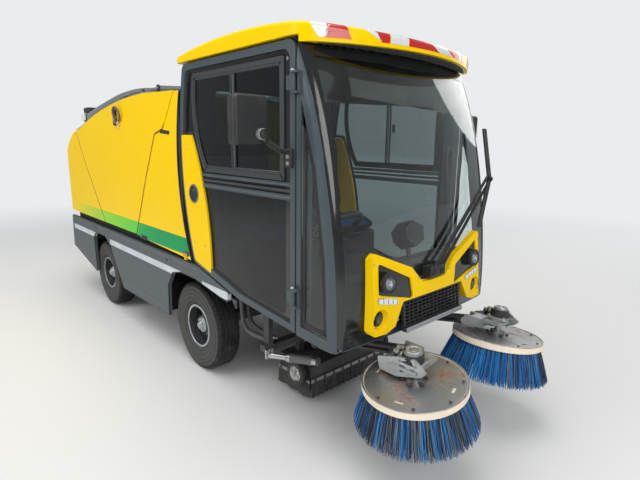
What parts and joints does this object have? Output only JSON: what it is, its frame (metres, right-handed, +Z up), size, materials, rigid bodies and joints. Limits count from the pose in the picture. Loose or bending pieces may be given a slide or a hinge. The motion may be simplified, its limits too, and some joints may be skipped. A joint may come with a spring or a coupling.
{
  "type": "compact road sweeper",
  "caption": "Compact cab-forward road sweeper with a glazed cab, a tipping hopper, steered front wheels and swinging side brushes",
  "frame": {"origin": "on the ground below the middle of the machine's box", "axes": "+X towards the cab's nose, +Y to the machine's left, +Z up"},
  "size_m": [4.4619, 1.888, 2.0329],
  "materials": {
    "yellow_paint": "gloss",
    "grey_paint": "satin",
    "dark_paint": "satin",
    "bright_steel": "brushed",
    "cast": "cast",
    "iron": "rough",
    "rim_silver": "satin",
    "tyre": "matte",
    "rubber": "matte",
    "black_plastic": "fine grain",
    "grey_plastic": "fine grain",
    "lamp": "gloss",
    "lens_red": "gloss",
    "glass": "clear",
    "wood": "worn",
    "bristle": "filaments",
    "seat": "woven"
  },
  "bodies": {
    "chassis": {"chassis_frame": "dark_paint", "front_axle": "iron", "rear_axle": "iron", "engine_block": "iron", "engine_cover": "yellow_paint", "cab_floor": "dark_paint", "cab_frame": "grey_paint", "cab_glazing": "glass", "roof_shell": "yellow_paint", "roof_lining": "grey_plastic", "front_fascia": "yellow_paint", "front_lamps": "lamp", "grille": "black_plastic", "wiper": "dark_paint", "seats": "seat", "dashboard": "grey_plastic", "steering_wheel": "black_plastic", "side_skirts": "grey_paint", "suction_nozzle": "dark_paint", "brush_struts": "bright_steel", "hoses": "rubber", "rear_lamps": "lens_red"},
    "hopper": {"hopper_tub": "grey_paint", "hopper_panels": "yellow_paint"},
    "rear_door": {"hopper_door": "yellow_paint"},
    "steering_left": {"knuckle_left": "cast"},
    "front_wheel_left": {"tyre_front_left": "tyre", "rim_front_left": "rim_silver"},
    "rear_wheel_left": {"tyre_rear_left": "tyre", "rim_rear_left": "rim_silver"},
    "cab_door_left": {"door_frame_left": "grey_paint", "door_panel_left": "yellow_paint", "door_glass_left": "glass", "mirror_left": "black_plastic"},
    "brush_swing_left": {"brush_post_left": "dark_paint"},
    "brush_lift_left": {"brush_arm_left": "dark_paint"},
    "brush_motor_left": {"brush_head_left": "cast"},
    "brush_rotor_left": {"brush_plate_left": "bright_steel", "brush_ring_left": "wood", "bristles_left": "bristle"},
    "nozzle_caster_left": {"nozzle_wheel_left": "rubber"},
    "steering_right": {"knuckle_right": "cast"},
    "front_wheel_right": {"tyre_front_right": "tyre", "rim_front_right": "rim_silver"},
    "rear_wheel_right": {"tyre_rear_right": "tyre", "rim_rear_right": "rim_silver"},
    "cab_door_right": {"door_frame_right": "grey_paint", "door_panel_right": "yellow_paint", "door_glass_right": "glass", "mirror_right": "black_plastic"},
    "brush_swing_right": {"brush_post_right": "dark_paint"},
    "brush_lift_right": {"brush_arm_right": "dark_paint"},
    "brush_motor_right": {"brush_head_right": "cast"},
    "brush_rotor_right": {"brush_plate_right": "bright_steel", "brush_ring_right": "wood", "bristles_right": "bristle"},
    "nozzle_caster_right": {"nozzle_wheel_right": "rubber"}
  },
  "joints": [
    {"name": "steer_left", "type": "hinge", "parent": "chassis", "child": "steering_left", "pos_m": [0.349, 0.388, 0.297], "axis": [0, 0, 1], "range_deg": [-30, 30]},
    {"name": "front_wheel_spin_left", "type": "hinge", "parent": "steering_left", "child": "front_wheel_left", "pos_m": [0.349, 0.516, 0.297], "axis": [0, 1, 0], "continuous": true},
    {"name": "rear_wheel_spin_left", "type": "hinge", "parent": "chassis", "child": "rear_wheel_left", "pos_m": [-1.343, 0.516, 0.297], "axis": [0, 1, 0], "continuous": true},
    {"name": "cab_door_left", "type": "hinge", "parent": "chassis", "child": "cab_door_left", "pos_m": [1.439, 0.662, 0.8], "axis": [0, 0, -1], "range_deg": [0, 75]},
    {"name": "brush_swing_left", "type": "hinge", "parent": "chassis", "child": "brush_swing_left", "pos_m": [1.294, 0.3, 0.439], "axis": [0, 0, 1], "range_deg": [0, 20]},
    {"name": "brush_lift_left", "type": "hinge", "parent": "brush_swing_left", "child": "brush_lift_left", "pos_m": [1.354, 0.3, 0.458], "axis": [0, 1, 0], "range_deg": [0, 28]},
    {"name": "brush_level_left", "type": "hinge", "parent": "brush_lift_left", "child": "brush_motor_left", "pos_m": [1.809, 0.3, 0.556], "axis": [0, 1, 0], "range_deg": [-28, 0]},
    {"name": "brush_spin_left", "type": "hinge", "parent": "brush_motor_left", "child": "brush_rotor_left", "pos_m": [1.947, 0.382, 0.49], "axis": [0, 0.1323, 0.9912], "continuous": true},
    {"name": "nozzle_wheel_spin_left", "type": "hinge", "parent": "chassis", "child": "nozzle_caster_left", "pos_m": [1.124, 0.372, 0.186], "axis": [0, 1, 0], "continuous": true},
    {"name": "steer_right", "type": "hinge", "parent": "chassis", "child": "steering_right", "pos_m": [0.349, -0.388, 0.297], "axis": [0, 0, 1], "range_deg": [-30, 30]},
    {"name": "front_wheel_spin_right", "type": "hinge", "parent": "steering_right", "child": "front_wheel_right", "pos_m": [0.349, -0.516, 0.297], "axis": [0, 1, 0], "continuous": true},
    {"name": "rear_wheel_spin_right", "type": "hinge", "parent": "chassis", "child": "rear_wheel_right", "pos_m": [-1.343, -0.516, 0.297], "axis": [0, 1, 0], "continuous": true},
    {"name": "cab_door_right", "type": "hinge", "parent": "chassis", "child": "cab_door_right", "pos_m": [1.439, -0.662, 0.8], "axis": [0, 0, 1], "range_deg": [0, 75]},
    {"name": "brush_swing_right", "type": "hinge", "parent": "chassis", "child": "brush_swing_right", "pos_m": [1.294, -0.3, 0.439], "axis": [0, 0, -1], "range_deg": [0, 20]},
    {"name": "brush_lift_right", "type": "hinge", "parent": "brush_swing_right", "child": "brush_lift_right", "pos_m": [1.354, -0.3, 0.458], "axis": [0, 1, 0], "range_deg": [0, 28]},
    {"name": "brush_level_right", "type": "hinge", "parent": "brush_lift_right", "child": "brush_motor_right", "pos_m": [1.809, -0.3, 0.556], "axis": [0, 1, 0], "range_deg": [-28, 0]},
    {"name": "brush_spin_right", "type": "hinge", "parent": "brush_motor_right", "child": "brush_rotor_right", "pos_m": [1.947, -0.382, 0.49], "axis": [0, -0.1323, 0.9912], "continuous": true},
    {"name": "nozzle_wheel_spin_right", "type": "hinge", "parent": "chassis", "child": "nozzle_caster_right", "pos_m": [1.124, -0.372, 0.186], "axis": [0, 1, 0], "continuous": true},
    {"name": "hopper_tip", "type": "hinge", "parent": "chassis", "child": "hopper", "pos_m": [-2.106, 0, 0.786], "axis": [0, -1, 0], "range_deg": [0, 50]},
    {"name": "rear_door_lift", "type": "hinge", "parent": "hopper", "child": "rear_door", "pos_m": [-2.133, 0, 1.5], "axis": [0, 1, 0], "range_deg": [0, 90]}
  ],
  "couplings": [
    {"joint": "brush_level_left", "follows": "brush_lift_left", "ratio": -1},
    {"joint": "brush_level_right", "follows": "brush_lift_right", "ratio": -1},
    {"joint": "steer_right", "follows": "steer_left", "ratio": 1}
  ]
}
